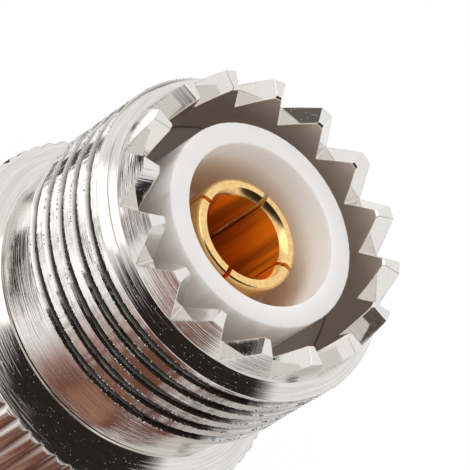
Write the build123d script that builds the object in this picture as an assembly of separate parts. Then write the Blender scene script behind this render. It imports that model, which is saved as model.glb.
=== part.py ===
from build123d import *
import os
from math import cos, pi, radians, sin, tan

os.makedirs("parts", exist_ok=True)

# Whole adapter, mm. Z runs up the axis to the toothed mouth, Z 0 is the nut's open end.
TOTAL_HEIGHT = 29.0
RUNNING_CLEARANCE = 0.06  # radial, nut lip on the spigot
AXIAL_GAP = 0.05  # nut's end face under the neck
PRESS_GAP = 0.02  # radial, between pieces pressed together
CUT_OVERRUN = 0.3  # how far a cut runs past the surface it opens

# Socket shell: coupling thread of 15.875 mm (5/8-24) over a smooth neck
THREAD_MAJOR_RADIUS = 15.875 / 2
THREAD_LENGTH = 5.41
THREAD_LEAD_IN = 0.65
THREAD_LEAD_DEPTH = 0.6575
RIM_LAND = 0.06
RIM_TAPER = 0.14
RIM_WALL = 0.94
TOOTH_COUNT = 16
TOOTH_DEPTH = 1.74
TOOTH_VEE_ANGLE = 64.0
MOUTH_CHAMFER = 0.12
NECK_STEP = 0.5075
NECK_UNDERCUT = 0.12
NECK_LENGTH = 2.72
NECK_EDGE = 0.1
SPIGOT_STEP = 1.23
SPIGOT_WALL = 1.3
SPIGOT_LENGTH = 3.5
SHELL_SHOULDER_BELOW_TIPS = 8.6

# Front insulator
BOSS_BELOW_TIPS = 0.92
BOSS_CLEARANCE = 1.21
BOSS_WALL = 1.02
BOSS_HEIGHT = 3.25
BOSS_EDGE = 0.1
RECESS_DEPTH = 5.2

# Centre contact with four spring fingers
CONTACT_BELOW_TIPS = 1.98
CONTACT_BORE_RADIUS = 2.0
CONTACT_WALL = 0.73
CONTACT_EDGE = 0.18
CONTACT_MOUTH_CHAMFER = 0.3
CONTACT_FLOOR = 1.2
FINGER_SLOT_WIDTH = 0.22
FINGER_SLOT_DEPTH = 7.6
FINGER_SLOT_START = 23.4
COLLAR_RIM = 1.47
COLLAR_THICKNESS = 1.5

# Plug side: nose sleeve, flange, insulator and pin
FLANGE_THICKNESS = 1.8
FLANGE_CLEARANCE = 0.3  # radial, inside the nut's thread bore
NOSE_CLEARANCE = 0.12  # radial, inside the mouth of a mating socket
NOSE_WALL = 0.93
NOSE_LENGTH = 3.8
NOSE_EDGE = 0.2
INSULATOR_STEM_RADIUS = 3.6
INSULATOR_HEAD = 1.9
LUG_HEIGHT = 1.0
LUG_WIDTH = 1.2
LUG_TIP_WIDTH = 0.3
LUG_INSET = 0.15
PIN_CLEARANCE = 0.02  # radial, inside the contact bore of a mating socket
PIN_TIP_Z = 0.6
PIN_TIP_ROUND = 1.2
PIN_SHOULDER = 0.42
PIN_SHANK_LENGTH = 1.62
PIN_SPIGOT_RADIUS = 1.0
PIN_SPIGOT_WEB = 0.45

# Coupling nut: straight knurl with a turned cone towards the neck
NUT_WALL = 1.55
NUT_CONE = 1.45
NUT_END_CHAMFER = 0.4
NUT_PLAY = 1.4  # along the axis, between the lip and the flange
NUT_THREAD_DEPTH = 0.5375
NUT_THREAD_MOUTH = 0.6
NUT_THREAD_BELOW_FLANGE = 1.0
NUT_RELIEF_DEPTH = 0.35
KNURL_COUNT = 68
KNURL_DEPTH = 0.25
KNURL_START = 1.5
RIDGE_TOP_SHARE = 0.34
RIDGE_FOOT_SHARE = 0.78

# Radii that follow from the thread and the contact bore
RIM_ROOT_RADIUS = THREAD_MAJOR_RADIUS - THREAD_LEAD_DEPTH
RIM_TIP_RADIUS = RIM_ROOT_RADIUS - RIM_TAPER
MOUTH_RADIUS = RIM_TIP_RADIUS - RIM_WALL
NECK_RADIUS = THREAD_MAJOR_RADIUS - NECK_STEP
SPIGOT_RADIUS = NECK_RADIUS - SPIGOT_STEP
SPIGOT_BORE_RADIUS = SPIGOT_RADIUS - SPIGOT_WALL
BOSS_RADIUS = MOUTH_RADIUS - BOSS_CLEARANCE
RECESS_RADIUS = BOSS_RADIUS - BOSS_WALL
CONTACT_RADIUS = CONTACT_BORE_RADIUS + CONTACT_WALL
COLLAR_RADIUS = CONTACT_RADIUS + COLLAR_RIM
PIN_RADIUS = CONTACT_BORE_RADIUS - PIN_CLEARANCE
PIN_SHANK_RADIUS = PIN_RADIUS + PIN_SHOULDER
NUT_THREAD_RADIUS = THREAD_MAJOR_RADIUS - NUT_THREAD_DEPTH
NUT_RELIEF_RADIUS = NUT_THREAD_RADIUS + NUT_RELIEF_DEPTH
NUT_RADIUS = NUT_THREAD_RADIUS + NUT_WALL
NOSE_RADIUS = MOUTH_RADIUS - NOSE_CLEARANCE
NOSE_BORE_RADIUS = NOSE_RADIUS - NOSE_WALL
FLANGE_RADIUS = NUT_THREAD_RADIUS - FLANGE_CLEARANCE

# Heights that follow down from the tooth tips
ROOT_Z = TOTAL_HEIGHT - TOOTH_DEPTH
CHAMFER_TOP_Z = ROOT_Z - RIM_LAND
THREAD_TOP_Z = CHAMFER_TOP_Z - THREAD_LEAD_IN
THREAD_END_Z = THREAD_TOP_Z - THREAD_LENGTH
NECK_END_Z = THREAD_END_Z - NECK_UNDERCUT - NECK_LENGTH
SHOULDER_Z = TOTAL_HEIGHT - SHELL_SHOULDER_BELOW_TIPS
COLLAR_END_Z = SHOULDER_Z - COLLAR_THICKNESS
PRESS_END_Z = COLLAR_END_Z - INSULATOR_HEAD
FLANGE_BACK_Z = NECK_END_Z - SPIGOT_LENGTH
FLANGE_FACE_Z = FLANGE_BACK_Z - FLANGE_THICKNESS
BOSS_Z = TOTAL_HEIGHT - BOSS_BELOW_TIPS
LEDGE_Z = BOSS_Z - BOSS_HEIGHT
RECESS_Z = BOSS_Z - RECESS_DEPTH
CONTACT_Z = TOTAL_HEIGHT - CONTACT_BELOW_TIPS
CONTACT_END_Z = FLANGE_FACE_Z + PIN_SHANK_LENGTH
BORE_END_Z = CONTACT_END_Z + CONTACT_FLOOR
PIN_SPIGOT_END_Z = BORE_END_Z - PIN_SPIGOT_WEB
NUT_TOP_Z = NECK_END_Z - AXIAL_GAP
NUT_LIP_Z = FLANGE_BACK_Z + NUT_PLAY
NUT_THREAD_END_Z = FLANGE_FACE_Z - NUT_THREAD_BELOW_FLANGE


def turned(outline):
    """Solid of revolution about Z from (radius, z) corners."""
    face = make_face(Polyline([(r, 0, z) for r, z in outline], close=True))
    return revolve(face, Axis.Z, 360)


def tooth_notches():
    """V cuts across the rim, one between each pair of teeth."""
    half = (TOOTH_DEPTH + CUT_OVERRUN) * tan(radians(TOOTH_VEE_ANGLE / 2))
    top = TOTAL_HEIGHT + CUT_OVERRUN
    face = make_face(Polyline([(0, 0, ROOT_Z), (0, half, top), (0, -half, top)], close=True))
    bar = extrude(face, amount=THREAD_MAJOR_RADIUS + CUT_OVERRUN, dir=(1, 0, 0))
    return PolarLocations(0, TOOTH_COUNT, start_angle=180 / TOOTH_COUNT) * bar


def socket_shell():
    """Toothed rim, thread barrel, neck and the spigot that carries the nut."""
    outline = [
        (MOUTH_RADIUS + MOUTH_CHAMFER, TOTAL_HEIGHT),
        (RIM_TIP_RADIUS, TOTAL_HEIGHT),
        (RIM_ROOT_RADIUS, ROOT_Z),
        (RIM_ROOT_RADIUS, CHAMFER_TOP_Z),
        (THREAD_MAJOR_RADIUS, THREAD_TOP_Z),
        (THREAD_MAJOR_RADIUS, THREAD_END_Z),
        (NECK_RADIUS, THREAD_END_Z - NECK_UNDERCUT),
        (NECK_RADIUS, NECK_END_Z + NECK_EDGE),
        (NECK_RADIUS - NECK_EDGE, NECK_END_Z),
        (SPIGOT_RADIUS, NECK_END_Z),
        (SPIGOT_RADIUS, FLANGE_BACK_Z),
        (SPIGOT_BORE_RADIUS, FLANGE_BACK_Z),
        (SPIGOT_BORE_RADIUS, SHOULDER_Z),
        (MOUTH_RADIUS, SHOULDER_Z),
        (MOUTH_RADIUS, TOTAL_HEIGHT - MOUTH_CHAMFER),
    ]
    return turned(outline) - tooth_notches()


def front_insulator():
    """Stepped insulator: wide base pressed in the shell, boss and recess round the contact."""
    base = MOUTH_RADIUS - PRESS_GAP
    hole = CONTACT_RADIUS + PRESS_GAP
    return turned([
        (hole, SHOULDER_Z),
        (base, SHOULDER_Z),
        (base, LEDGE_Z),
        (BOSS_RADIUS, LEDGE_Z),
        (BOSS_RADIUS, BOSS_Z - BOSS_EDGE),
        (BOSS_RADIUS - BOSS_EDGE, BOSS_Z),
        (RECESS_RADIUS, BOSS_Z),
        (RECESS_RADIUS, RECESS_Z),
        (hole, RECESS_Z),
    ])


def centre_contact():
    """Socket contact with a blind bore, four slots, a collar and a tail for the pin."""
    body = turned([
        (0, BORE_END_Z),
        (CONTACT_BORE_RADIUS, BORE_END_Z),
        (CONTACT_BORE_RADIUS, CONTACT_Z - CONTACT_MOUTH_CHAMFER),
        (CONTACT_BORE_RADIUS + CONTACT_MOUTH_CHAMFER, CONTACT_Z),
        (CONTACT_RADIUS - CONTACT_EDGE, CONTACT_Z),
        (CONTACT_RADIUS, CONTACT_Z - CONTACT_EDGE),
        (CONTACT_RADIUS, SHOULDER_Z),
        (COLLAR_RADIUS, SHOULDER_Z),
        (COLLAR_RADIUS, COLLAR_END_Z),
        (CONTACT_RADIUS, COLLAR_END_Z),
        (CONTACT_RADIUS, CONTACT_END_Z),
        (PIN_SPIGOT_RADIUS + PRESS_GAP, CONTACT_END_Z),
        (PIN_SPIGOT_RADIUS + PRESS_GAP, PIN_SPIGOT_END_Z + PRESS_GAP),
        (0, PIN_SPIGOT_END_Z + PRESS_GAP),
    ])
    reach = CONTACT_RADIUS + CUT_OVERRUN
    slot = Pos(reach / 2, 0, CONTACT_Z - FINGER_SLOT_DEPTH / 2) * Box(
        reach, FINGER_SLOT_WIDTH, FINGER_SLOT_DEPTH)
    return body - PolarLocations(0, 4, start_angle=FINGER_SLOT_START) * slot


def plug_pin():
    """Solid pin with a rounded tip, a thicker shank in the insulator and a spigot into the contact's tail."""
    tip = [(PIN_RADIUS - PIN_TIP_ROUND * (1 - sin(radians(a))), PIN_TIP_Z + PIN_TIP_ROUND * (1 - cos(radians(a))))
           for a in range(0, 91, 15)]
    return turned([(0, PIN_TIP_Z)] + tip + [
        (PIN_RADIUS, FLANGE_FACE_Z),
        (PIN_SHANK_RADIUS, FLANGE_FACE_Z),
        (PIN_SHANK_RADIUS, CONTACT_END_Z),
        (PIN_SPIGOT_RADIUS, CONTACT_END_Z),
        (PIN_SPIGOT_RADIUS, PIN_SPIGOT_END_Z),
        (0, PIN_SPIGOT_END_Z),
    ])


def rear_insulator():
    """Flanged insulator that carries the contact's tail and the pin in the plug body."""
    head = SPIGOT_BORE_RADIUS - PRESS_GAP
    stem = INSULATOR_STEM_RADIUS - PRESS_GAP
    tail_hole = CONTACT_RADIUS + PRESS_GAP
    pin_hole = PIN_SHANK_RADIUS + PRESS_GAP
    return turned([
        (pin_hole, FLANGE_FACE_Z),
        (stem, FLANGE_FACE_Z),
        (stem, PRESS_END_Z),
        (head, PRESS_END_Z),
        (head, COLLAR_END_Z),
        (tail_hole, COLLAR_END_Z),
        (tail_hole, CONTACT_END_Z),
        (pin_hole, CONTACT_END_Z),
    ])


def plug_body():
    """Flange that traps the nut, nose sleeve with two locating lugs, press spigot."""
    outline = [
        (INSULATOR_STEM_RADIUS, FLANGE_FACE_Z),
        (NOSE_BORE_RADIUS, FLANGE_FACE_Z),
        (NOSE_BORE_RADIUS, FLANGE_FACE_Z - NOSE_LENGTH),
        (NOSE_RADIUS - NOSE_EDGE, FLANGE_FACE_Z - NOSE_LENGTH),
        (NOSE_RADIUS, FLANGE_FACE_Z - NOSE_LENGTH + NOSE_EDGE),
        (NOSE_RADIUS, FLANGE_FACE_Z),
        (FLANGE_RADIUS, FLANGE_FACE_Z),
        (FLANGE_RADIUS, FLANGE_BACK_Z),
        (SPIGOT_BORE_RADIUS - PRESS_GAP, FLANGE_BACK_Z),
        (SPIGOT_BORE_RADIUS - PRESS_GAP, PRESS_END_Z),
        (INSULATOR_STEM_RADIUS, PRESS_END_Z),
    ]
    inner = NOSE_RADIUS - CUT_OVERRUN
    face = make_face(Polyline([
        (inner, LUG_WIDTH / 2, FLANGE_FACE_Z + CUT_OVERRUN),
        (inner, -LUG_WIDTH / 2, FLANGE_FACE_Z + CUT_OVERRUN),
        (inner, -LUG_TIP_WIDTH / 2, FLANGE_FACE_Z - LUG_HEIGHT),
        (inner, LUG_TIP_WIDTH / 2, FLANGE_FACE_Z - LUG_HEIGHT),
    ], close=True))
    lug = extrude(face, amount=FLANGE_RADIUS - LUG_INSET - inner, dir=(1, 0, 0))
    return turned(outline) + PolarLocations(0, 2) * lug


def knurl_outline():
    """Corner points of the straight knurl, four to a ridge."""
    pitch = 2 * pi / KNURL_COUNT
    top = RIDGE_TOP_SHARE / 2
    foot = RIDGE_FOOT_SHARE / 2
    valley_radius = NUT_RADIUS - KNURL_DEPTH
    points = []
    for k in range(KNURL_COUNT):
        middle = radians(KNURL_START) + k * pitch
        for share, radius in ((-foot, valley_radius), (-top, NUT_RADIUS), (top, NUT_RADIUS), (foot, valley_radius)):
            points.append((radius * cos(middle + share * pitch), radius * sin(middle + share * pitch)))
    return points


def coupling_nut():
    """Knurled nut with its thread bore, relief, lip and turned cone."""
    outside = NUT_RADIUS + CUT_OVERRUN
    outline = [
        (NUT_THREAD_RADIUS + NUT_THREAD_MOUTH, 0),
        (NUT_RADIUS - NUT_END_CHAMFER, 0),
        (outside, NUT_END_CHAMFER + CUT_OVERRUN),
        (outside, NUT_TOP_Z - NUT_CONE - CUT_OVERRUN),
        (NUT_RADIUS - NUT_CONE, NUT_TOP_Z),
        (SPIGOT_RADIUS + RUNNING_CLEARANCE, NUT_TOP_Z),
        (SPIGOT_RADIUS + RUNNING_CLEARANCE, NUT_LIP_Z),
        (NUT_RELIEF_RADIUS, NUT_LIP_Z),
        (NUT_RELIEF_RADIUS, NUT_THREAD_END_Z + NUT_RELIEF_DEPTH),
        (NUT_THREAD_RADIUS, NUT_THREAD_END_Z),
        (NUT_THREAD_RADIUS, NUT_THREAD_MOUTH),
    ]
    bar = extrude(make_face(Polyline(knurl_outline(), close=True)), amount=NUT_TOP_Z)
    return turned(outline) & bar


PIECES = {
    "socket_shell": socket_shell,
    "front_insulator": front_insulator,
    "centre_contact": centre_contact,
    "plug_pin": plug_pin,
    "rear_insulator": rear_insulator,
    "plug_body": plug_body,
    "coupling_nut": coupling_nut,
}

for name, make in PIECES.items():
    solid = make()
    solids = solid.solids()
    shape = solids[0] if len(solids) == 1 else Compound(children=list(solids))
    export_step(shape, f"parts/{name}.step")
    print(name, len(solids), round(shape.volume, 2), shape.is_valid)
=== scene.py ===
import bpy
import math
import random
from mathutils import Matrix, Vector


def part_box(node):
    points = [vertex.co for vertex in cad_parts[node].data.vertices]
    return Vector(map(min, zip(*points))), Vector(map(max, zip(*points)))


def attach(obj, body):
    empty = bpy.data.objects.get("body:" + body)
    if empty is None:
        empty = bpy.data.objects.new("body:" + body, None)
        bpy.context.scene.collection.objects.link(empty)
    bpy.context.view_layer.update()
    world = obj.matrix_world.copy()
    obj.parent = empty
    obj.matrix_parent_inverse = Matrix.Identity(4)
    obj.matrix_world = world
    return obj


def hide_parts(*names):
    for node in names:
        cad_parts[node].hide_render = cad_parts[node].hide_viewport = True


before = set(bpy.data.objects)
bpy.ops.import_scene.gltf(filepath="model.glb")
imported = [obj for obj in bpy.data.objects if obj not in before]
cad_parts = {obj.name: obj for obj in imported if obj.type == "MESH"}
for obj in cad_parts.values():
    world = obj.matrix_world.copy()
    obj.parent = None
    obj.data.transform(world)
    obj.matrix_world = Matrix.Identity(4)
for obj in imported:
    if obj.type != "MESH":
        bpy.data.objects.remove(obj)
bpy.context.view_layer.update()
bpy.ops.object.select_all(action="DESELECT")

mm = 0.001
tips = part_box("socket_shell")[1].z / mm     # height of the tooth tips over the nut's open end


# helpers

def hexColour(code):
    # sRGB hex to the linear colour that the shaders want
    parts = [int(code[i:i + 2], 16) / 255 for i in (1, 3, 5)]
    return [c / 12.92 if c <= 0.04045 else ((c + 0.055) / 1.055) ** 2.4 for c in parts] + [1.0]


def addNode(tree, kind, settings=None, links=None):
    # settings are the node's own options or values for its inputs, links are the sockets that feed its inputs
    node = tree.nodes.new(kind)
    for key, value in (settings or {}).items():
        if isinstance(key, str) and hasattr(node, key):
            setattr(node, key, value)
        else:
            node.inputs[key].default_value = value
    for key, source in (links or {}).items():
        tree.links.new(source, node.inputs[key])
    return node


def pickOnly(piece):
    bpy.ops.object.select_all(action="DESELECT")
    piece.select_set(True)
    bpy.context.view_layer.objects.active = piece


def editMesh(piece, mode="FACE"):
    pickOnly(piece)
    bpy.ops.object.mode_set(mode="EDIT")
    bpy.ops.mesh.select_mode(type=mode)
    bpy.ops.mesh.select_all(action="DESELECT")


def leaveEdit():
    bpy.ops.object.mode_set(mode="OBJECT")


def applyPlace(piece):
    pickOnly(piece)
    bpy.ops.object.transform_apply(location=True, rotation=True, scale=True)


def modify(piece, name, kind, **settings):
    pickOnly(piece)
    modifier = piece.modifiers.new(name, kind)
    for key, value in settings.items():
        setattr(modifier, key, value)
    bpy.ops.object.modifier_apply(modifier=modifier.name)


def copyOf(piece):
    # a copy with its own mesh
    copy = piece.copy()
    copy.data = piece.data.copy()
    bpy.context.scene.collection.objects.link(copy)
    return copy


def joinTo(piece, others):
    pickOnly(piece)
    for other in others:
        other.select_set(True)
    bpy.ops.object.join()


def turnPiece(name, corners, segments):
    # one ring at the first corner, then extruded and resized from corner to corner, as on a lathe
    radius, height = corners[0]
    bpy.ops.object.select_all(action="DESELECT")
    bpy.ops.mesh.primitive_circle_add(vertices=segments, radius=radius * mm, location=(0, 0, height * mm))
    piece = bpy.context.object
    piece.name = piece.data.name = name
    applyPlace(piece)
    editMesh(piece, "EDGE")
    bpy.ops.mesh.select_all(action="SELECT")
    for nextRadius, nextHeight in corners[1:]:
        rise = (nextHeight - height) * mm
        bpy.ops.mesh.extrude_edges_move(TRANSFORM_OT_translate={"value": (0, 0, rise)})
        if nextRadius != radius:
            scale = nextRadius / radius
            bpy.ops.transform.resize(value=(scale, scale, 1), center_override=(0, 0, nextHeight * mm))
        radius, height = nextRadius, nextHeight
    bpy.ops.mesh.select_all(action="DESELECT")
    bpy.ops.mesh.select_non_manifold()
    return piece


def closeTurned(piece):
    bpy.ops.mesh.select_all(action="SELECT")
    bpy.ops.mesh.normals_make_consistent(inside=False)
    leaveEdit()
    return piece


def turnHollow(name, corners, segments):
    # the last ring is bridged back to the first
    piece = turnPiece(name, corners, segments)
    bpy.ops.mesh.bridge_edge_loops()
    return closeTurned(piece)


def turnSolid(name, corners, segments):
    # both end rings are closed flat
    piece = turnPiece(name, corners, segments)
    bpy.ops.mesh.fill_holes(sides=0)
    return closeTurned(piece)


def selectWhere(piece, test):
    # edit mode with the vertices that pass the test selected
    editMesh(piece, "VERT")
    leaveEdit()
    for vertex in piece.data.vertices:
        vertex.select = test(vertex.co / mm)
    bpy.ops.object.mode_set(mode="EDIT")


def narrow(piece, test, scale):
    # the chosen vertices are drawn together about the origin
    selectWhere(piece, test)
    bpy.ops.transform.resize(value=scale, center_override=(0, 0, 0))
    leaveEdit()


def boxBar(name, low, high):
    # a box from its low to its high corner, mm
    bpy.ops.object.select_all(action="DESELECT")
    bpy.ops.mesh.primitive_cube_add(size=1, location=[(a + b) / 2 * mm for a, b in zip(low, high)])
    bar = bpy.context.object
    bar.name = bar.data.name = name
    bar.scale = [(b - a) * mm for a, b in zip(low, high)]
    applyPlace(bar)
    return bar


def ringOf(piece, count, start):
    # copies round Z, joined to one cutter
    copies = []
    for i in range(count):
        copy = copyOf(piece)
        copy.rotation_euler.z = math.radians(start + 360 * i / count)
        applyPlace(copy)
        copies.append(copy)
    bpy.data.objects.remove(piece)
    joinTo(copies[0], copies[1:])
    return copies[0]


def cutAway(piece, cutter):
    modify(piece, "Cut", "BOOLEAN", operation="DIFFERENCE", solver="EXACT", object=cutter)
    bpy.data.objects.remove(cutter)


def softenEdges(piece, width, segments, angle):
    modify(piece, "Edges", "BEVEL", width=width * mm, segments=segments, limit_method="ANGLE",
           angle_limit=math.radians(angle), harden_normals=False, miter_outer="MITER_ARC")


def smooth(piece, angle):
    pickOnly(piece)
    bpy.ops.object.shade_smooth_by_angle(angle=math.radians(angle))


def roughen(piece, test, reach, seed):
    # burrs and nicks left by a tool: the chosen vertices move a little each way
    selectWhere(piece, test)
    bpy.ops.transform.vertex_random(offset=reach * mm, uniform=0.3, normal=0.4, seed=seed)
    leaveEdit()


def helixCutter(name, top, root, phase, span, pitch, steps):
    # a standing plane becomes the groove's section, and the Screw modifier winds it up the barrel;
    # top and root: radius and width; phase: height and angle of one groove's centre; span: low and high end
    radiusTop, widthTop = top
    radiusRoot, widthRoot = root
    height, angle = phase
    low, high = span
    turns = int(math.ceil((high - low) / pitch))
    startTurn = math.floor((low - height) / pitch)
    bpy.ops.object.select_all(action="DESELECT")
    bpy.ops.mesh.primitive_plane_add(size=1, location=((radiusTop + radiusRoot) / 2 * mm, 0, 0),
                                     rotation=(math.pi / 2, 0, 0))
    groove = bpy.context.object
    groove.name = groove.data.name = name
    groove.scale = (abs(radiusTop - radiusRoot) * mm, widthTop * mm, 1)
    applyPlace(groove)
    half = abs(radiusTop - radiusRoot) / 2
    narrow(groove, lambda co: abs(co.x - radiusRoot) < half, (1, 1, widthRoot / widthTop))
    groove.location.z = (height + startTurn * pitch) * mm
    groove.rotation_euler.z = math.radians(angle)
    applyPlace(groove)
    modify(groove, "Wind", "SCREW", axis="Z", angle=2 * math.pi, screw_offset=pitch * mm,
           iterations=turns + 1, steps=steps, render_steps=steps, use_merge_vertices=False)
    editMesh(groove, "EDGE")
    bpy.ops.mesh.select_non_manifold()
    bpy.ops.mesh.fill_holes(sides=0)
    return closeTurned(groove)


# socket shell

shell = {
    "segments": 320, "edge": 0.035, "edgeAngle": 24, "smoothAngle": 10,
    "threadRadius": 7.9375, "pitch": 25.4 / 24, "threadLength": 5.41, "undercut": 0.12,
    "grooveDepth": 0.39, "grooveWidth": 0.57, "grooveRoot": 0.12, "grooveRise": 0.12, "grooveSteps": 220,
    "groovePhaseAngle": 51.0, "groovePhaseDrop": 3.2,   # one groove centre: degrees round, mm below the tips
    "grooveRunIn": 0.1, "grooveRunOut": 1.3,
    "burr": 0.012, "burrSeed": 3, "burrDepth": 0.03, "burrFromEnd": 0.15, "burrFromTop": 0.1,
    "tipRadius": 7.14, "rootRadius": 7.28, "rimChamfer": 0.1, "leadDrop": 1.8, "leadLength": 0.65,
    "toothCount": 16, "toothDepth": 1.74, "veeAngle": 64.0, "veeRoot": 0.04, "veeRise": 0.3,
    "veeInner": 4.0, "veeOuter": 9.0,
    "neckRadius": 7.43, "neckLength": 2.72, "neckChamfer": 0.1, "spigotRadius": 6.2, "spigotEnd": 14.8,
    "boreRadius": 6.2, "boreDepth": 8.6, "spigotBore": 4.9,
}
leadTop = tips - shell["leadDrop"]
threadTop = leadTop - shell["leadLength"]
threadEnd = threadTop - shell["threadLength"]


def onCrest(co):
    # on the thread's crest, clear of both its ends
    low = threadEnd + shell["burrFromEnd"]
    high = threadTop - shell["burrFromTop"]
    return co.xy.length > shell["threadRadius"] - shell["burrDepth"] and low < co.z < high


def makeShell():
    s = shell
    neckTop = threadEnd - s["undercut"]
    neckEnd = neckTop - s["neckLength"]
    toothRoot = tips - s["toothDepth"]
    piece = turnHollow("SocketShell", [
        (s["boreRadius"] + s["rimChamfer"], tips),
        (s["tipRadius"], tips),
        (s["rootRadius"], toothRoot),
        (s["rootRadius"], leadTop),
        (s["threadRadius"], threadTop),
        (s["threadRadius"], threadEnd),
        (s["neckRadius"], neckTop),
        (s["neckRadius"], neckEnd + s["neckChamfer"]),
        (s["neckRadius"] - s["neckChamfer"], neckEnd),
        (s["spigotRadius"], neckEnd),
        (s["spigotRadius"], s["spigotEnd"]),
        (s["spigotBore"], s["spigotEnd"]),
        (s["spigotBore"], tips - s["boreDepth"]),
        (s["boreRadius"], tips - s["boreDepth"]),
        (s["boreRadius"], tips - s["rimChamfer"]),
    ], s["segments"])

    # V cuts between the teeth, one cutter copied round
    half = (s["toothDepth"] + s["veeRise"]) * math.tan(math.radians(s["veeAngle"] / 2))
    vee = boxBar("Vee", (s["veeInner"], -half, toothRoot), (s["veeOuter"], half, tips + s["veeRise"]))
    narrow(vee, lambda co: co.z < tips - s["toothDepth"] / 2, (1, s["veeRoot"] / half / 2, 1))
    cutAway(piece, ringOf(vee, s["toothCount"], 180 / s["toothCount"]))
    softenEdges(piece, s["edge"], 2, s["edgeAngle"])

    slope = (s["grooveWidth"] - s["grooveRoot"]) / s["grooveDepth"]
    top = (s["threadRadius"] + s["grooveRise"], s["grooveWidth"] + slope * s["grooveRise"])
    root = (s["threadRadius"] - s["grooveDepth"], s["grooveRoot"])
    phase = (tips - s["groovePhaseDrop"], s["groovePhaseAngle"])
    span = (threadEnd + s["grooveRunIn"], threadTop + s["grooveRunOut"])
    cutAway(piece, helixCutter("Groove", top, root, phase, span, s["pitch"], s["grooveSteps"]))
    roughen(piece, onCrest, s["burr"], s["burrSeed"])
    smooth(piece, s["smoothAngle"])
    return piece


burrs = {
    "count": 2400, "clusters": 200, "spread": 2.4, "seed": 11,      # spread of a cluster in degrees
    "size": 0.1, "leastShare": 0.35, "lumpiness": 0.16, "sink": 0.006, "scatter": 0.012,
    "fromEnd": 0.1, "fromTop": 0.05,
}


def addBurrs(piece):
    # chips that the threading tool left along both edges of the crest: one lump, copied and joined on
    s = burrs
    chance = random.Random(s["seed"])
    bpy.ops.object.select_all(action="DESELECT")
    bpy.ops.mesh.primitive_ico_sphere_add(subdivisions=1, radius=0.5 * mm)
    lump = bpy.context.object
    editMesh(lump)
    bpy.ops.mesh.select_all(action="SELECT")
    bpy.ops.transform.vertex_random(offset=s["lumpiness"] * mm, uniform=1.0, seed=s["seed"])
    leaveEdit()
    turns = (threadTop - threadEnd) / shell["pitch"]
    spots = [chance.uniform(0, turns * 360) for i in range(s["clusters"])]
    zGroove = tips - shell["groovePhaseDrop"]
    radius = shell["threadRadius"] - s["sink"]
    copies = []
    while len(copies) < s["count"]:
        angle = shell["groovePhaseAngle"] + chance.gauss(chance.choice(spots), s["spread"])
        turn = (angle - shell["groovePhaseAngle"]) / 360
        height = zGroove + (turn - math.floor(turns) + 1) * shell["pitch"]
        height += chance.choice((-0.5, 0.5)) * shell["grooveWidth"] + chance.gauss(0, s["scatter"])
        if not threadEnd + s["fromEnd"] < height < threadTop - s["fromTop"]:
            continue
        copy = copyOf(lump)
        a = math.radians(angle)
        copy.location = (radius * math.cos(a) * mm, radius * math.sin(a) * mm, height * mm)
        copy.rotation_euler = [chance.uniform(0, math.pi) for i in range(3)]
        copy.scale = [s["size"] * chance.uniform(s["leastShare"], 1.0) for i in range(3)]
        copies.append(copy)
    bpy.data.objects.remove(lump)
    joinTo(piece, copies)


shellPiece = makeShell()
addBurrs(shellPiece)
print("socket shell", len(shellPiece.data.polygons), "faces")


# insulators

insulators = {
    "segments": 256, "gap": 0.02, "edge": 0.07, "edgeAngle": 40,
    "burr": 0.014, "burrSeed": 5, "burrBand": 1.2,      # rough band at the boss's rim, as a share of its edge
    "bossDrop": 0.92, "bossRadius": 4.99, "bossHeight": 3.25, "recessRadius": 3.97, "recessDepth": 5.2,
    "baseDrop": 8.6, "baseRadius": 6.2, "contactRadius": 2.73,
    "rearSegments": 192, "rearEdge": 0.05, "rearFace": 13.0, "rearStep": 17.0, "rearTop": 18.9,
    "stemRadius": 3.6, "headRadius": 4.9, "holeEnd": 14.62, "shankHole": 2.42,
}
bossFace = tips - insulators["bossDrop"]


def makeInsulators():
    s = insulators
    hole = s["contactRadius"] + s["gap"]
    base = s["baseRadius"] - s["gap"]
    stem = s["stemRadius"] - s["gap"]
    head = s["headRadius"] - s["gap"]
    front = turnHollow("FrontInsulator", [
        (hole, tips - s["baseDrop"]),
        (base, tips - s["baseDrop"]),
        (base, bossFace - s["bossHeight"]),
        (s["bossRadius"], bossFace - s["bossHeight"]),
        (s["bossRadius"], bossFace),
        (s["recessRadius"], bossFace),
        (s["recessRadius"], bossFace - s["recessDepth"]),
        (hole, bossFace - s["recessDepth"]),
    ], s["segments"])
    softenEdges(front, s["edge"], 3, s["edgeAngle"])
    rim = s["bossRadius"] - s["edge"] / 2
    band = s["edge"] * s["burrBand"]
    roughen(front, lambda co: abs(co.z - bossFace) < band and co.xy.length > rim, s["burr"], s["burrSeed"])
    smooth(front, s["edgeAngle"])
    rear = turnHollow("RearInsulator", [
        (s["shankHole"], s["rearFace"]),
        (stem, s["rearFace"]),
        (stem, s["rearStep"]),
        (head, s["rearStep"]),
        (head, s["rearTop"]),
        (hole, s["rearTop"]),
        (hole, s["holeEnd"]),
        (s["shankHole"], s["holeEnd"]),
    ], s["rearSegments"])
    softenEdges(rear, s["rearEdge"], 2, s["edgeAngle"])
    smooth(rear, s["edgeAngle"])
    return front, rear


frontInsulator, rearInsulator = makeInsulators()
print("insulators", len(frontInsulator.data.polygons) + len(rearInsulator.data.polygons), "faces")


# contact and pin

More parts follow.
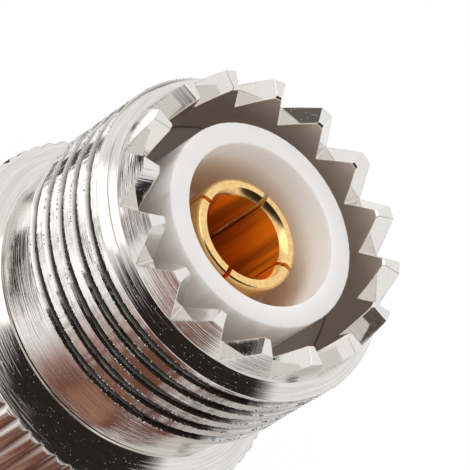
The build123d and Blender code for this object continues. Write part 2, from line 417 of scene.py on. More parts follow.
contact = {
    "segments": 192, "edgeAngle": 30, "axisRadius": 0.02,       # first and last ring, closed flat
    "drop": 1.98, "radius": 2.73, "edge": 0.2, "edgeSteps": 4, "boreRadius": 2.0, "boreDepth": 11.2,
    "mouth": 0.3, "mouthSlope": 0.9, "floor": 1.2,
    "collarRadius": 4.2, "collarThickness": 1.5, "collarDrop": 8.6,
    "slotCount": 4, "slotWidth": 0.22, "slotDepth": 7.6, "slotAngle": 23.4, "slotEdge": 0.03,
    "slotInner": 1.0, "slotOuter": 3.6, "slotRise": 1.0,
    "pinRadius": 1.98, "pinTip": 0.6, "pinRound": 1.2, "pinSteps": 10, "shankRadius": 2.4,
    "spigotRadius": 1.0, "spigotLength": 0.75, "spigotGap": 0.01, "spigotFloor": 0.05,
}


def quarterTurn(steps):
    # angles from 0 to a right angle, for the points of a rounded edge
    return [math.pi / 2 * i / steps for i in range(steps + 1)]


def makeContact():
    s = contact
    face = tips - s["drop"]
    boreEnd = face - s["boreDepth"]
    tailEnd = boreEnd - s["floor"]
    collar = tips - s["collarDrop"]
    nose = [(s["radius"] - s["edge"] * (1 - math.sin(a)), face - s["edge"] * (1 - math.cos(a)))
            for a in quarterTurn(s["edgeSteps"])]
    piece = turnSolid("CentreContact", [
        (s["axisRadius"], boreEnd),
        (s["boreRadius"], boreEnd),
        (s["boreRadius"], face - s["mouth"]),
        (s["boreRadius"] + s["mouth"] * s["mouthSlope"], face)] + nose + [
        (s["radius"], collar),
        (s["collarRadius"], collar),
        (s["collarRadius"], collar - s["collarThickness"]),
        (s["radius"], collar - s["collarThickness"]),
        (s["radius"], tailEnd),
        (s["spigotRadius"], tailEnd),
        (s["spigotRadius"], tailEnd + s["spigotLength"]),
        (s["axisRadius"], tailEnd + s["spigotLength"]),
    ], s["segments"])
    half = s["slotWidth"] / 2
    slot = boxBar("Slot", (s["slotInner"], -half, face - s["slotDepth"]),
                  (s["slotOuter"], half, face + s["slotRise"]))
    cutAway(piece, ringOf(slot, s["slotCount"], s["slotAngle"]))
    softenEdges(piece, s["slotEdge"], 2, s["edgeAngle"])
    smooth(piece, s["edgeAngle"])

    r, z, rounded = s["pinRadius"], s["pinTip"], s["pinRound"]
    spigot = s["spigotRadius"] - s["spigotGap"]
    tip = [(r - rounded * (1 - math.sin(a)), z + rounded * (1 - math.cos(a)))
           for a in quarterTurn(s["pinSteps"])]
    pin = turnSolid("PlugPin", tip + [
        (r, insulators["rearFace"]),
        (s["shankRadius"], insulators["rearFace"]),
        (s["shankRadius"], tailEnd),
        (spigot, tailEnd),
        (spigot, tailEnd + s["spigotLength"] - s["spigotFloor"]),
    ], s["segments"])
    smooth(pin, s["edgeAngle"])
    return piece, pin


contactPiece, pinPiece = makeContact()
print("contact and pin", len(contactPiece.data.polygons) + len(pinPiece.data.polygons), "faces")


# plug body

plug = {
    "segments": 256, "edge": 0.06, "edgeAngle": 30,
    "flangeRadius": 7.1, "face": 13.0, "back": 14.8, "noseRadius": 6.08, "noseBore": 5.15, "noseLength": 3.8,
    "pressEnd": 17.0, "pressRadius": 4.88, "stemRadius": 3.6,
    "lugCount": 2, "lugHeight": 1.0, "lugWidth": 1.2, "lugSink": 0.3, "lugInset": 0.15, "lugTipShare": 0.25,
}


def makePlugBody():
    s = plug
    nose = s["face"] - s["noseLength"]
    piece = turnHollow("PlugBody", [
        (s["stemRadius"], s["face"]),
        (s["noseBore"], s["face"]),
        (s["noseBore"], nose),
        (s["noseRadius"], nose),
        (s["noseRadius"], s["face"]),
        (s["flangeRadius"], s["face"]),
        (s["flangeRadius"], s["back"]),
        (s["pressRadius"], s["back"]),
        (s["pressRadius"], s["pressEnd"]),
        (s["stemRadius"], s["pressEnd"]),
    ], s["segments"])
    half = s["lugWidth"] / 2
    lug = boxBar("Lug", (s["noseRadius"] - s["lugSink"], -half, s["face"] - s["lugHeight"]),
                 (s["flangeRadius"] - s["lugInset"], half, s["face"] + s["lugSink"]))
    narrow(lug, lambda co: co.z < s["face"], (1, s["lugTipShare"], 1))
    lugs = ringOf(lug, s["lugCount"], 0)
    modify(piece, "Lugs", "BOOLEAN", operation="UNION", solver="EXACT", object=lugs)
    bpy.data.objects.remove(lugs)
    softenEdges(piece, s["edge"], 2, s["edgeAngle"])
    smooth(piece, s["edgeAngle"])
    return piece


plugPiece = makePlugBody()
print("plug body", len(plugPiece.data.polygons), "faces")


# coupling nut

nut = {
    "segments": 408, "edge": 0.035, "edgeAngle": 30, "smoothAngle": 26,
    "radius": 8.95, "top": 18.25, "cone": 1.45, "endChamfer": 0.4, "mouth": 0.6,
    "knurlCount": 68, "knurlDepth": 0.14, "knurlStart": 1.5, "ridgeShare": 0.26, "rootShare": 0.1,
    "knurlRise": 0.1, "runOut": 1.3,
    "lipRadius": 6.26, "lipThickness": 2.05, "reliefRadius": 7.75,
    "threadRadius": 7.4, "threadLength": 12.0, "pitch": 25.4 / 24, "threadDepth": 0.55, "threadRise": 0.1,
    "grooveWidth": 0.95, "grooveRoot": 0.15, "grooveHeight": 1.0, "grooveStart": -0.5, "grooveStop": 0.3,
    "grooveSteps": 128,
}
coneEnd = nut["top"] - nut["cone"]


def makeNut():
    s = nut
    lip = s["top"] - s["lipThickness"]
    runOut = s["knurlDepth"] * s["runOut"]
    piece = turnHollow("CouplingNut", [
        (s["threadRadius"] + s["mouth"], 0),
        (s["radius"] - s["endChamfer"], 0),
        (s["radius"], s["endChamfer"]),
        (s["radius"], coneEnd),
        (s["radius"] - runOut, coneEnd + runOut),
        (s["radius"] - s["cone"], s["top"]),
        (s["lipRadius"], s["top"]),
        (s["lipRadius"], lip),
        (s["reliefRadius"], lip),
        (s["reliefRadius"], s["threadLength"] + s["reliefRadius"] - s["threadRadius"]),
        (s["threadRadius"], s["threadLength"]),
        (s["threadRadius"], s["mouth"]),
    ], s["segments"])
    pitch = 2 * math.pi * s["radius"] / s["knurlCount"]
    half = pitch * (1 - s["ridgeShare"]) / 2
    slope = (half - pitch * s["rootShare"] / 2) / s["knurlDepth"]
    outer = half + slope * s["knurlRise"]
    root = s["radius"] - s["knurlDepth"]
    groove = boxBar("KnurlGroove", (root, -outer, -1), (s["radius"] + s["knurlRise"], outer, s["top"]))
    narrow(groove, lambda co: co.x < root + s["knurlDepth"] / 2, (1, pitch * s["rootShare"] / 2 / outer, 1))
    cutAway(piece, ringOf(groove, s["knurlCount"], s["knurlStart"] + 180 / s["knurlCount"]))
    softenEdges(piece, s["edge"], 2, s["edgeAngle"])
    grooveTop = (s["threadRadius"] - s["threadRise"], s["grooveWidth"])
    grooveRoot = (s["threadRadius"] + s["threadDepth"], s["grooveRoot"])
    span = (s["grooveStart"], s["threadLength"] - s["grooveStop"])
    cutAway(piece, helixCutter("NutGroove", grooveTop, grooveRoot, (s["grooveHeight"], 0), span,
                               s["pitch"], s["grooveSteps"]))
    smooth(piece, s["smoothAngle"])
    return piece


nutPiece = makeNut()
print("coupling nut", len(nutPiece.data.polygons), "faces")


# materials

paintReach = 0.02       # how far a painted area reaches past the surface that it is meant for


def newMaterial(name):
    material = bpy.data.materials.new(name)
    material.use_nodes = True
    return material, material.node_tree, material.node_tree.nodes["Principled BSDF"]


def turnedCoordinates(tree):
    # radius and height of each point, for marks that run round the piece as a cutting tool leaves them
    place = addNode(tree, "ShaderNodeTexCoord").outputs["Object"]
    flat = addNode(tree, "ShaderNodeVectorMath", {"operation": "MULTIPLY", 1: (1, 1, 0)}, {0: place})
    radius = addNode(tree, "ShaderNodeVectorMath", {"operation": "LENGTH"}, {0: flat.outputs[0]})
    split = addNode(tree, "ShaderNodeSeparateXYZ", None, {0: place})
    return place, radius.outputs["Value"], split.outputs["Z"]


def within(tree, source, low, high):
    # 1 where a length in mm lies between two others, else 0
    over = addNode(tree, "ShaderNodeMath", {"operation": "GREATER_THAN", 1: low * mm}, {0: source})
    under = addNode(tree, "ShaderNodeMath", {"operation": "LESS_THAN", 1: high * mm}, {0: source})
    area = addNode(tree, "ShaderNodeMath", {"operation": "MULTIPLY"},
                   {0: over.outputs[0], 1: under.outputs[0]})
    return area.outputs[0]


def coat(tree, colour, code, share, area):
    # a second colour over the first, by a share and only inside an area
    amount = addNode(tree, "ShaderNodeMath", {"operation": "MULTIPLY"}, {0: share, 1: area})
    paint = {"data_type": "RGBA", 7: hexColour(code)}
    return addNode(tree, "ShaderNodeMix", paint, {0: amount.outputs[0], 6: colour}).outputs[2]


def paintRootShade(tree, colour, code, radius, area, root, crest, depth):
    # painted shade: thread and knurl darken by depth from their crest radius towards their root radius, mm;
    # on the knurl it stands for dirt as well
    reach = {"From Min": root * mm, "From Max": crest * mm, "To Min": depth, "To Max": 0.0}
    share = addNode(tree, "ShaderNodeMapRange", reach, {"Value": radius})
    return coat(tree, colour, code, share.outputs[0], area)


nickel = {
    "colour": "#e5e2de", "tarnish": "#d2cdc7", "tarnishRange": (0.35, 0.65),
    "roughness": 0.055, "nutRoughness": 0.066, "roughShares": (0.7, 1.7), "roughRange": (0.35, 0.7),
    "lineSpacing": 0.075, "lineLength": 2.8, "lineDepth": 0.016,
    "patch": 2.6, "patchRange": (0.4, 0.62), "calm": 0.25,
    "pitSpacing": 0.09, "pitSize": 0.27, "pitDepth": 0.009, "pitRarity": 4.0,
    # painted shade: the thread's roots are painted near black between grooveRoot and grooveEdge, mm
    "grooveRoot": 7.72, "grooveEdge": 7.93, "grooveFromEnd": 0.15,
    "grooveShade": 0.15, "grooveShadeColour": "#0a0908",
    # painted light: the shell's mouth wall is painted paler than the nickel; its higher roughness is the
    # duller plate
    "mouthPaintedLight": "#f2e7dc", "mouthRoughness": 0.22, "mouthReach": 0.06, "rimCalm": 0.18,
    # painted shade, with some dirt: the knurl's roots are painted darker
    "knurlCalm": 0.25, "knurlShade": 0.4, "knurlShadeColour": "#1c1816", "knurlCrest": 0.01,
}


def makeNickel(name, roughness, kind):
    # bright nickel plate over turned brass: a warm grey mirror with small pits and streaks from the lathe;
    # thread and knurl have painted shade in their roots (on the knurl also dirt), and inside its mouth the
    # shell is duller and painted paler as painted light
    s = nickel
    material, tree, shader = newMaterial(name)
    shader.inputs["Metallic"].default_value = 1.0
    place, radius, height = turnedCoordinates(tree)
    fine = 1 / (s["lineSpacing"] * mm)
    long = 1 / (s["lineLength"] * mm)
    scaled = addNode(tree, "ShaderNodeVectorMath", {"operation": "MULTIPLY", 1: (long, long, fine)},
                     {0: place})
    turned = addNode(tree, "ShaderNodeSeparateXYZ", None, {0: scaled.outputs[0]})
    streak = addNode(tree, "ShaderNodeCombineXYZ", None, {0: turned.outputs["Z"], 1: turned.outputs["X"]})
    lines = addNode(tree, "ShaderNodeTexNoise", {
        "noise_dimensions": "4D", "Scale": 1.0, "Detail": 2.0, "Roughness": 0.55},
        {"Vector": streak.outputs[0], "W": turned.outputs["Y"]}).outputs["Fac"]
    patches = addNode(tree, "ShaderNodeTexNoise", {"Scale": 1 / (s["patch"] * mm), "Detail": 1.0},
                      {"Vector": place})
    low, high = s["patchRange"]
    strength = addNode(tree, "ShaderNodeMapRange", {
        "From Min": low, "From Max": high, "To Min": s["calm"], "To Max": 1.0},
        {"Value": patches.outputs["Fac"]})
    pits = addNode(tree, "ShaderNodeTexVoronoi", {"Scale": 1 / (s["pitSpacing"] * mm)}, {"Vector": place})
    chance = addNode(tree, "ShaderNodeSeparateXYZ", None, {0: pits.outputs["Color"]})
    rare = addNode(tree, "ShaderNodeMath", {"operation": "POWER", 1: s["pitRarity"]},
                   {0: chance.outputs["X"]})
    size = addNode(tree, "ShaderNodeMath", {"operation": "MULTIPLY", 1: s["pitSize"]}, {0: rare.outputs[0]})
    pit = addNode(tree, "ShaderNodeMapRange", {"From Min": 0.0},
                  {"Value": pits.outputs["Distance"], "From Max": size.outputs[0]})

    # inside the rim and on the knurl the streaks are fainter: share that is left, low and high end, radius
    calm, low, high, reach = {
        "thread": (s["rimCalm"], leadTop, tips + 1, shell["tipRadius"] - paintReach),
        "knurl": (s["knurlCalm"], -1, coneEnd, nut["radius"] + 1),
        "plain": (1.0, -1, 0, 0)}[kind]
    near = addNode(tree, "ShaderNodeMath", {"operation": "LESS_THAN", 1: reach * mm}, {0: radius})
    area = addNode(tree, "ShaderNodeMath", {"operation": "MULTIPLY"},
                   {0: within(tree, height, low, high), 1: near.outputs[0]})
    calmer = addNode(tree, "ShaderNodeMapRange", {"To Min": 1.0, "To Max": calm}, {"Value": area.outputs[0]})
    depth = addNode(tree, "ShaderNodeMath", {"operation": "MULTIPLY"},
                    {0: strength.outputs[0], 1: calmer.outputs[0]})
    marks = addNode(tree, "ShaderNodeBump", {"Distance": s["lineDepth"] * mm},
                    {"Height": lines, "Strength": depth.outputs[0]})
    dents = addNode(tree, "ShaderNodeBump", {"Strength": 1.0, "Distance": s["pitDepth"] * mm},
                    {"Height": pit.outputs[0], "Normal": marks.outputs["Normal"]})
    low, high = s["tarnishRange"]
    dirt = addNode(tree, "ShaderNodeMapRange", {"From Min": low, "From Max": high}, {"Value": lines})
    stain = addNode(tree, "ShaderNodeMath", {"operation": "MULTIPLY"},
                    {0: dirt.outputs[0], 1: calmer.outputs[0]})
    tint = addNode(tree, "ShaderNodeMix", {
        "data_type": "RGBA", 6: hexColour(s["colour"]), 7: hexColour(s["tarnish"])}, {0: stain.outputs[0]})
    colour = tint.outputs[2]
    low, high = s["roughRange"]
    least, most = s["roughShares"]
    dull = addNode(tree, "ShaderNodeMapRange", {
        "From Min": low, "From Max": high, "To Min": roughness * least, "To Max": roughness * most},
        {"Value": lines}).outputs[0]
    if kind == "thread":
        # painted shade in the thread's roots
        zone = within(tree, height, threadEnd + s["grooveFromEnd"], threadTop - paintReach)
        colour = paintRootShade(tree, colour, s["grooveShadeColour"], radius, zone,
                             s["grooveRoot"], s["grooveEdge"], 1 - s["grooveShade"])
        # painted light: the mouth wall is painted paler; it is also duller
        bore = (shell["boreRadius"] + s["mouthReach"]) * mm
        inside = addNode(tree, "ShaderNodeMath", {"operation": "LESS_THAN", 1: bore}, {0: radius}).outputs[0]
        mouth = {"data_type": "RGBA", 7: hexColour(s["mouthPaintedLight"])}
        colour = addNode(tree, "ShaderNodeMix", mouth, {0: inside, 6: colour}).outputs[2]
        dull = addNode(tree, "ShaderNodeMix", {"data_type": "FLOAT", 3: s["mouthRoughness"]},
                       {0: inside, 2: dull}).outputs[0]
    if kind == "knurl":
        # painted shade, with some dirt, in the knurl's roots
        zone = within(tree, height, 0, coneEnd)
        root = nut["radius"] - nut["knurlDepth"]
        crest = nut["radius"] - s["knurlCrest"]
        colour = paintRootShade(tree, colour, s["knurlShadeColour"], radius, zone, root, crest, s["knurlShade"])
    tree.links.new(colour, shader.inputs["Base Color"])
    tree.links.new(dull, shader.inputs["Roughness"])
    tree.links.new(dents.outputs["Normal"], shader.inputs["Normal"])
    return material


gold = {
    "colour": "#f9d08e", "roughness": 0.16, "grain": 0.25, "grainLength": 0.25, "worn": 0.86, "metallic": 1.0,
}
# painted light: the bore's gold is deeper orange and less metallic, standing in for light bouncing deep in
# the bore
paintedBounceGold = {
    "colour": "#ff8c16", "roughness": 0.4, "grain": 0.8, "grainLength": 12.0, "worn": 0.42, "metallic": 0.3,
}
goldGrain = {
    "wornRange": (0.38, 0.62), "roughRange": (0.3, 0.7), "roughShares": (0.75, 1.3),
    "strength": 0.15, "depth": 0.006,
}


def makeGold(name, s):
    # gold plate over turned brass, warm and softly bright; inside the bore it has long drawn streaks, and its
    # deeper orange, partly diffuse gold is painted light for light bouncing in the bore
    material, tree, shader = newMaterial(name)
    shader.inputs["Metallic"].default_value = s["metallic"]
    place = addNode(tree, "ShaderNodeTexCoord").outputs["Object"]
    across = 1 / (s["grain"] * mm)
    along = 1 / (s["grainLength"] * mm)
    drawn = addNode(tree, "ShaderNodeVectorMath", {"operation": "MULTIPLY", 1: (across, across, along)},
                    {0: place})
    grain = addNode(tree, "ShaderNodeTexNoise", {"Scale": 1.0, "Detail": 3.0},
                    {"Vector": drawn.outputs[0]}).outputs["Fac"]
    low, high = goldGrain["wornRange"]
    share = addNode(tree, "ShaderNodeMapRange", {"From Min": low, "From Max": high}, {"Value": grain})
    base = hexColour(s["colour"])
    worn = [c * s["worn"] for c in base[:3]] + [1]
    tint = addNode(tree, "ShaderNodeMix", {"data_type": "RGBA", 6: base, 7: worn}, {0: share.outputs[0]})
    low, high = goldGrain["roughRange"]
    least, most = goldGrain["roughShares"]
    rough = addNode(tree, "ShaderNodeMapRange", {
        "From Min": low, "From Max": high, "To Min": s["roughness"] * least, "To Max": s["roughness"] * most},
        {"Value": grain})
    bump = addNode(tree, "ShaderNodeBump", {
        "Strength": goldGrain["strength"], "Distance": goldGrain["depth"] * mm}, {"Height": grain})
    tree.links.new(tint.outputs[2], shader.inputs["Base Color"])
    tree.links.new(rough.outputs[0], shader.inputs["Roughness"])
    tree.links.new(bump.outputs["Normal"], shader.inputs["Normal"])
    return material


ptfe = {
    "colour": "#dbd9d8", "shade": "#d5d3d1", "patch": 1.2, "ior": 1.35,
    "roughness": 0.42, "roughRange": (0.3, 0.7), "roughShares": (0.85, 1.15),
    "scatter": 0.8, "scatterRadius": (1.0, 0.9, 0.8), "scatterDepth": 1.5,
    "ringSpacing": 0.09, "ringStrength": 0.1, "ringDepth": 0.004,
    # painted light: a whiter recess near its top and the gold's reflected glow towards its floor
    "recess": "#f2efec", "fadeDepth": 1.4, "glow": "#e7ceb3", "goldBounceStart": 0.6,
    # painted shade on the base round the boss
    "stain": 0.7, "baseShadeColour": "#8a786a", "baseShadeReach": 0.05,
}


def makePtfe():
    # turned PTFE: white, waxy and slightly translucent at thin edges
    s = ptfe
    material, tree, shader = newMaterial("TurnedPtfe")
    shader.inputs["IOR"].default_value = s["ior"]
    shader.inputs["Subsurface Weight"].default_value = s["scatter"]
    shader.inputs["Subsurface Radius"].default_value = s["scatterRadius"]
    shader.inputs["Subsurface Scale"].default_value = s["scatterDepth"] * mm
    place, radius, height = turnedCoordinates(tree)
    grain = addNode(tree, "ShaderNodeTexNoise", {"Scale": 1 / (s["patch"] * mm), "Detail": 4.0},
                    {"Vector": place}).outputs["Fac"]
    tint = addNode(tree, "ShaderNodeMix", {
        "data_type": "RGBA", 6: hexColour(s["colour"]), 7: hexColour(s["shade"])}, {0: grain})
    low, high = s["roughRange"]
    least, most = s["roughShares"]
    rough = addNode(tree, "ShaderNodeMapRange", {
        "From Min": low, "From Max": high, "To Min": s["roughness"] * least, "To Max": s["roughness"] * most},
        {"Value": grain})

    # painted light: the recess is painted whiter near its top, and painted with the gold's reflected light
    # towards its floor
    recess = (insulators["recessRadius"] + paintReach) * mm
    inside = addNode(tree, "ShaderNodeMath", {"operation": "LESS_THAN", 1: recess}, {0: radius}).outputs[0]
    pale = addNode(tree, "ShaderNodeMapRange", {
        "From Min": bossFace * mm, "From Max": (bossFace - s["fadeDepth"]) * mm}, {"Value": height})
    warm = addNode(tree, "ShaderNodeMapRange", {
        "From Min": (bossFace - s["goldBounceStart"]) * mm,
        "From Max": (bossFace - insulators["recessDepth"]) * mm}, {"Value": height})
    colour = coat(tree, tint.outputs[2], s["recess"], pale.outputs[0], inside)
    colour = coat(tree, colour, s["glow"], warm.outputs[0], inside)

    # painted shade: the base round the boss is painted darker and browner; stain is the share of this painted
    # shade
    base = (bossFace - insulators["bossHeight"] + s["baseShadeReach"]) * mm
    rim = (insulators["bossRadius"] + paintReach) * mm
    deep = addNode(tree, "ShaderNodeMath", {"operation": "LESS_THAN", 1: base}, {0: height})
    outer = addNode(tree, "ShaderNodeMath", {"operation": "GREATER_THAN", 1: rim}, {0: radius})
    stain = addNode(tree, "ShaderNodeMath", {"operation": "MULTIPLY", 1: s["stain"]}, {0: outer.outputs[0]})
    colour = coat(tree, colour, s["baseShadeColour"], stain.outputs[0], deep.outputs[0])

    # faint rings from facing
    rings = addNode(tree, "ShaderNodeMath", {"operation": "MULTIPLY", 1: 1 / (s["ringSpacing"] * mm)},
                    {0: radius})
    ringVector = addNode(tree, "ShaderNodeCombineXYZ", None, {0: rings.outputs[0]})
    lines = addNode(tree, "ShaderNodeTexNoise", {"Scale": 1.0, "Detail": 2.0},
                    {"Vector": ringVector.outputs[0]})
    bump = addNode(tree, "ShaderNodeBump", {"Strength": s["ringStrength"], "Distance": s["ringDepth"] * mm},
                   {"Height": lines.outputs["Fac"]})
    tree.links.new(colour, shader.inputs["Base Color"])
    tree.links.new(rough.outputs[0], shader.inputs["Roughness"])
    tree.links.new(bump.outputs["Normal"], shader.inputs["Normal"])
    return material


nickelShell = makeNickel("NickelPlatedTurnedBrass", nickel["roughness"], "thread")
nickelNut = makeNickel("NickelPlatedKnurledBrass", nickel["nutRoughness"], "knurl")
nickelPlug = makeNickel("NickelPlatedTurnedSleeve", nickel["roughness"], "plain")
goldFace = makeGold("GoldPlatedBrass", gold)
boreGoldWithPaintedBounce = makeGold("GoldBorePaintedBounce", paintedBounceGold)
turnedPtfe = makePtfe()

for piece, materials, slotName, body, node in (
        (shellPiece, [nickelShell], "nickel_plate", "adapter", "socket_shell"),
        (plugPiece, [nickelPlug], "nickel_plate", "adapter", "plug_body"),
        (nutPiece, [nickelNut], "nickel_plate_nut", "nut", "coupling_nut"),
        (frontInsulator, [turnedPtfe], "ptfe", "adapter", "front_insulator"),
        (rearInsulator, [turnedPtfe], "ptfe", "adapter", "rear_insulator"),
        (contactPiece, [goldFace, boreGoldWithPaintedBounce], "gold_plate", "adapter", "centre_contact"),
        (pinPiece, [goldFace], "gold_plate", "adapter", "plug_pin")):
    piece.data.materials.clear()
    for material in materials:
        piece.data.materials.append(material)
    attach(piece, body)
    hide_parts(node)

# the faces inside the contact's bore take the second gold, whose deeper orange is painted bounce light
boreReach = (contact["boreRadius"] + paintReach) * mm
for face in contactPiece.data.polygons:
    inward = face.normal.xy.dot(face.center.xy) < 0
    if inward and face.center.xy.length < boreReach:
        face.material_index = 1
print("materials assigned")


# floor, light and camera

stage = {
    "floorSize": 1.2, "floorColour": "#f4f4f4", "floorGlow": 0.85, "roomLight": 1.0,
    "azimuth": -179.34, "elevation": 45.16, "roll": 56.96, "aim": (0.21, 2.71, 29.0), "distance": 198.1,
    "lens": 342.9, "sensor": 36, "clipStart": 0.005, "clipEnd": 10,
    "centre": (0, 0, 24), "cardLift": 0.1, "cardStep": 0.05,    # floor cards lie one above the other
    "lampDirection": (-0.2, 0.8, 0.6), "lampDistance": 320, "lampSize": 180, "lampEnergy": 0.31,
}
centre = Vector(stage["centre"])


def cameraPlace():
    s = stage
    a, e, r = (math.radians(s[k]) for k in ("azimuth", "elevation", "roll"))
    back = Vector((math.sin(a) * math.cos(e), -math.cos(a) * math.cos(e), math.sin(e)))
    level = Vector((0, 0, 1)).cross(back).normalized()
    upright = back.cross(level)
    right = level * math.cos(r) + upright * math.sin(r)
    up = back.cross(right)
    place = Matrix((right, up, back)).transposed().to_4x4()
    place.translation = (Vector(s["aim"]) + back * s["distance"]) * mm
    return place, right, up, back


cameraMatrix, right, up, back = cameraPlace()
bpy.ops.object.camera_add()
camera = bpy.context.object
camera.name = "Camera"
camera.matrix_world = cameraMatrix
camera.data.lens = stage["lens"]
camera.data.sensor_width = stage["sensor"]
camera.data.clip_start = stage["clipStart"]
camera.data.clip_end = stage["clipEnd"]
bpy.context.scene.camera = camera


def viewDirection(direction):
    # right, up and towards the camera, as the camera sees them
    return (right * direction[0] + up * direction[1] + back * direction[2]).normalized()


def seenRays(tree):
    # 1 for what the camera, metal and glass look at, 0 for the light that falls on the object
    path = addNode(tree, "ShaderNodeLightPath")
    seen = addNode(tree, "ShaderNodeMath", {"operation": "MAXIMUM"},
                   {0: path.outputs["Is Camera Ray"], 1: path.outputs["Is Glossy Ray"]})
    either = addNode(tree, "ShaderNodeMath", {"operation": "MAXIMUM"},
                     {0: seen.outputs[0], 1: path.outputs["Is Transmission Ray"]})
    return either.outputs[0]


def clearMaterial(name):
    material = bpy.data.materials.new(name)
    material.use_nodes = True
    material.node_tree.nodes.clear()
    return material, material.node_tree


def makeFloor():
    # nearly white to the camera and to the metal, and an ordinary pale floor to everything else
    bpy.ops.mesh.primitive_plane_add(size=stage["floorSize"], location=(0, 0, 0))
    floor = bpy.context.object
    floor.name = "Floor"
    material, tree = clearMaterial("PalePaper")
    paper = addNode(tree, "ShaderNodeBsdfDiffuse", {"Color": hexColour(stage["floorColour"])})
    white = addNode(tree, "ShaderNodeEmission", {"Color": (1, 1, 1, 1), "Strength": 1.0})
    share = addNode(tree, "ShaderNodeMath", {"operation": "MULTIPLY", 1: stage["floorGlow"]},
                    {0: seenRays(tree)})
    mix = addNode(tree, "ShaderNodeMixShader", None,
                  {0: share.outputs[0], 1: paper.outputs[0], 2: white.outputs[0]})
    addNode(tree, "ShaderNodeOutputMaterial", None, {"Surface": mix.outputs[0]})
    floor.data.materials.append(material)


makeFloor()

# cards that only the metal sees: core is the share that is solid before the edge fades,
# and strength is 1 where it isn't given
cards = {
    # direction from the object as right, up, towards the camera; size and distance in mm; lean in degrees
    "DarkCard": {"direction": (0.516, -0.175, 0.876), "distance": 160, "size": (250, 456), "lean": 47,
                 "colour": "#2e2926", "core": 0.6},
    "SoftboxCard": {"direction": (-0.10, 0.74, 0.66), "distance": 200, "size": (230, 170), "lean": 20,
                    "colour": "#ffffff", "strength": 1.6, "core": 0.8},
    "FacetCard": {"direction": (-0.173, -0.499, 0.849), "distance": 150, "size": (42, 42), "lean": 0,
                  "colour": "#5c534c", "core": 0.6},
    "SideCard": {"direction": (-0.48, 0.88, -0.03), "distance": 150, "size": (62, 62), "lean": 0,
                 "colour": "#66625d", "core": 0.3},
}
floorCards = {
    # place and size in mm on the floor, turn in degrees; the later ones lie on top
    "DimCard": {"place": (-30, -10), "size": (44, 64), "turn": 0, "colour": "#d2cec9", "core": 0.4},
    "GreyCard": {"place": (31, 28), "size": (30, 28), "turn": 40, "colour": "#8f8a85", "core": 0.5},
    "PinkCard": {"place": (-4, 49), "size": (60, 26), "turn": 12, "colour": "#a5857a", "core": 0.6},
    "BlushCard": {"place": (-6, 26), "size": (34, 22), "turn": 20, "colour": "#b08d84", "core": 0.2},
    "BrownCard": {"place": (-17, 25), "size": (34, 58), "turn": 36, "colour": "#7a5345", "core": 0.3},
    "KnurlCard": {"place": (-5, 8), "size": (46, 32), "turn": 0, "colour": "#754c42", "core": 0.85},
    "TanCard": {"place": (-13.8, 18.9), "size": (8, 18), "turn": 126, "colour": "#a57e6a", "core": 0.4},
    "CrestCard": {"place": (-32.6, 7.0), "size": (11, 22), "turn": 168, "colour": "#6a6662", "core": 0.4},
    "GlintCard": {"place": (17.2, 24.6), "size": (13, 30), "turn": 55,
                  "colour": "#ffffff", "strength": 1.35, "core": 0.5},
    "BrightCard": {"place": (30.5, 0), "size": (17, 54), "turn": 0,
                   "colour": "#ffffff", "strength": 1.6, "core": 0.7},
    "NeckCard": {"place": (17.3, 10.0), "size": (10.4, 24), "turn": 30, "colour": "#2c2824", "core": 0.75},
    "ToothCard": {"place": (38.3, 7.5), "size": (11, 30), "turn": 11, "colour": "#3a3632", "core": 0.62},
    "PatchCard": {"place": (25.6, -9.3), "size": (17, 9), "turn": 12, "colour": "#5a5652", "core": 0.5},
}

# dark strips on the floor, laid like rays round the object for its reflections in other views:
# azimuth, start, end, width
flags = [(197, 38, 110, 14), (233, 15, 52, 9), (258, 15, 110, 18), (281, 15, 110, 8), (308, 15, 52, 12),
         (340, 38, 110, 15), (20, 56, 110, 16), (62, 60, 110, 12), (101, 72, 120, 18), (148, 60, 110, 14)]
for number, (azimuth, start, end, width) in enumerate(flags):
    angle = math.radians(azimuth)
    middle = (start + end) / 2
    floorCards[f"FlagCard{number}"] = {
        "place": (middle * math.cos(angle), middle * math.sin(angle)), "size": (width, end - start),
        "turn": azimuth - 90, "colour": "#4b4744", "core": 0.3}


def cardPaint(name, s):
    # glows in the metal, and fades out towards the card's edge
    material, tree = clearMaterial(name + "Paint")
    spot = addNode(tree, "ShaderNodeTexCoord")
    reach = addNode(tree, "ShaderNodeVectorMath", {"operation": "LENGTH"}, {0: spot.outputs["Object"]})
    fade = addNode(tree, "ShaderNodeMapRange", {
        "interpolation_type": "SMOOTHSTEP", "From Min": s["core"] / 2, "From Max": 0.5},
        {"Value": reach.outputs["Value"]})
    glow = addNode(tree, "ShaderNodeEmission", {
        "Color": hexColour(s["colour"]), "Strength": s.get("strength", 1.0)})
    clear = addNode(tree, "ShaderNodeBsdfTransparent")
    mix = addNode(tree, "ShaderNodeMixShader", None,
                  {0: fade.outputs[0], 1: glow.outputs[0], 2: clear.outputs[0]})
    addNode(tree, "ShaderNodeOutputMaterial", None, {"Surface": mix.outputs[0]})
    return material


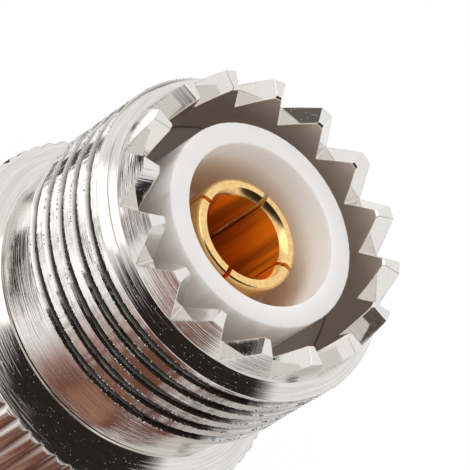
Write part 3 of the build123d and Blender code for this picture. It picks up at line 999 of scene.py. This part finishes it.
def hangCard(name, spot, facing, upright, s):
    bpy.ops.object.select_all(action="DESELECT")
    bpy.ops.mesh.primitive_plane_add(size=1)
    card = bpy.context.object
    card.name = name
    side = upright.cross(facing).normalized()
    turn = Matrix((side, facing.cross(side), facing)).transposed().to_4x4()
    card.matrix_world = turn @ Matrix.Diagonal((s["size"][0] * mm, s["size"][1] * mm, 1, 1))
    card.matrix_world.translation = spot * mm
    card.data.materials.append(cardPaint(name, s))
    card.visible_camera = card.visible_diffuse = card.visible_shadow = card.visible_transmission = False


for name, s in cards.items():
    away = viewDirection(s["direction"])
    lean = math.radians(s["lean"])
    hangCard(name, centre + away * s["distance"], -away, up * math.cos(lean) - right * math.sin(lean), s)
for level, (name, s) in enumerate(floorCards.items()):
    turn = math.radians(s["turn"])
    lift = stage["cardLift"] + stage["cardStep"] * level
    hangCard(name, Vector((*s["place"], lift)), Vector((0, 0, 1)),
             Vector((-math.sin(turn), math.cos(turn), 0)), s)
print("cards", len(cards) + len(floorCards))

away = viewDirection(stage["lampDirection"])
bpy.ops.object.light_add(type="AREA")
lamp = bpy.context.object
lamp.name = "KeyLamp"
lamp.data.shape = "DISK"
lamp.data.size = stage["lampSize"] * mm
lamp.data.energy = stage["lampEnergy"]
lamp.visible_glossy = False
spot = Matrix.Translation((centre + away * stage["lampDistance"]) * mm)
lamp.matrix_world = spot @ away.to_track_quat("Z", "Y").to_matrix().to_4x4()

world = bpy.data.worlds.new("Studio")
bpy.context.scene.world = world
world.use_nodes = True
tree = world.node_tree
tree.nodes.clear()
room = addNode(tree, "ShaderNodeBackground", {"Color": (1, 1, 1, 1), "Strength": stage["roomLight"]})
white = addNode(tree, "ShaderNodeBackground", {"Color": (1, 1, 1, 1), "Strength": 1.0})
mix = addNode(tree, "ShaderNodeMixShader", None, {0: seenRays(tree), 1: room.outputs[0], 2: white.outputs[0]})
addNode(tree, "ShaderNodeOutputWorld", None, {"Surface": mix.outputs[0]})

bpy.context.scene.view_settings.view_transform = "Standard"

print("scene ready")
